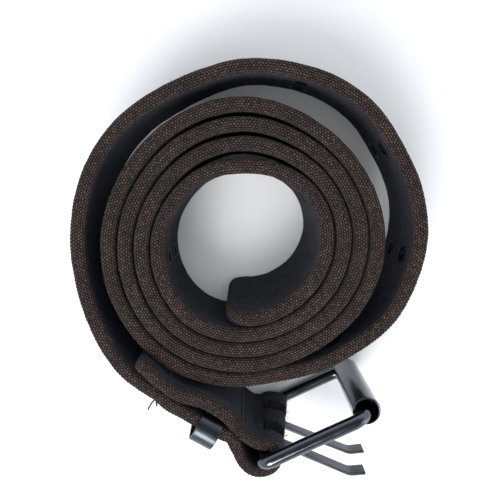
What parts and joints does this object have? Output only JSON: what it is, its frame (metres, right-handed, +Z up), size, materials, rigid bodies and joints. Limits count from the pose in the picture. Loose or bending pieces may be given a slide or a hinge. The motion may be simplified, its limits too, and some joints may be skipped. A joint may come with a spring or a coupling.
{
  "type": "gait belt",
  "caption": "Rolled dark brown webbing transfer belt on its edge, with a double-prong roller buckle, metal keeper and paired metal eyelets.",
  "frame": {"origin": "on the floor under the middle of the bounding box", "axes": "+Z up, across the width of the rolled strap; +Y the longest side, away from the buckle; +X to the buckle's roller side"},
  "size_m": [0.1374, 0.166, 0.0635],
  "materials": {
    "webbing": "coarse woven cotton",
    "thread": "matte twisted thread",
    "black_nickel": "polished black nickel plate"
  },
  "bodies": {
    "strap": {"strap": "webbing", "stitch_row_end": "thread", "stitch_row_loop": "thread", "eyelet_tail_1_upper": "black_nickel", "eyelet_tail_1_lower": "black_nickel", "eyelet_tail_2_upper": "black_nickel", "eyelet_tail_2_lower": "black_nickel", "eyelet_tail_3_upper": "black_nickel", "eyelet_tail_3_lower": "black_nickel", "eyelet_outer_1_upper": "black_nickel", "eyelet_outer_1_lower": "black_nickel", "eyelet_outer_2_upper": "black_nickel", "eyelet_outer_2_lower": "black_nickel", "eyelet_outer_3_upper": "black_nickel", "eyelet_outer_3_lower": "black_nickel", "eyelet_outer_4_upper": "black_nickel", "eyelet_outer_4_lower": "black_nickel"},
    "frame": {"buckle_frame": "black_nickel"},
    "roller": {"roller": "black_nickel"},
    "upper_prong": {"prong_upper": "black_nickel"},
    "lower_prong": {"prong_lower": "black_nickel"},
    "keeper": {"keeper": "black_nickel"}
  },
  "joints": [
    {"name": "frame_hinge", "type": "hinge", "parent": "strap", "child": "frame", "pos_m": [0.00426, -0.07033, 0.03175], "axis": [0, 0, 1], "range_deg": [-30, 12]},
    {"name": "roller_spin", "type": "hinge", "parent": "frame", "child": "roller", "pos_m": [0.04405, -0.05085, 0.03175], "axis": [0, 0, 1], "continuous": true},
    {"name": "upper_prong_hinge", "type": "hinge", "parent": "frame", "child": "upper_prong", "pos_m": [0.00426, -0.07033, 0.04175], "axis": [0, 0, 1], "range_deg": [-20, 28]},
    {"name": "lower_prong_hinge", "type": "hinge", "parent": "frame", "child": "lower_prong", "pos_m": [0.00426, -0.07033, 0.02175], "axis": [0, 0, 1], "range_deg": [-20, 28]},
    {"name": "keeper_slide", "type": "slide", "parent": "strap", "child": "keeper", "axis": [0.8664, -0.4994, 0], "range_m": [-0.0065, 0.0003]}
  ]
}
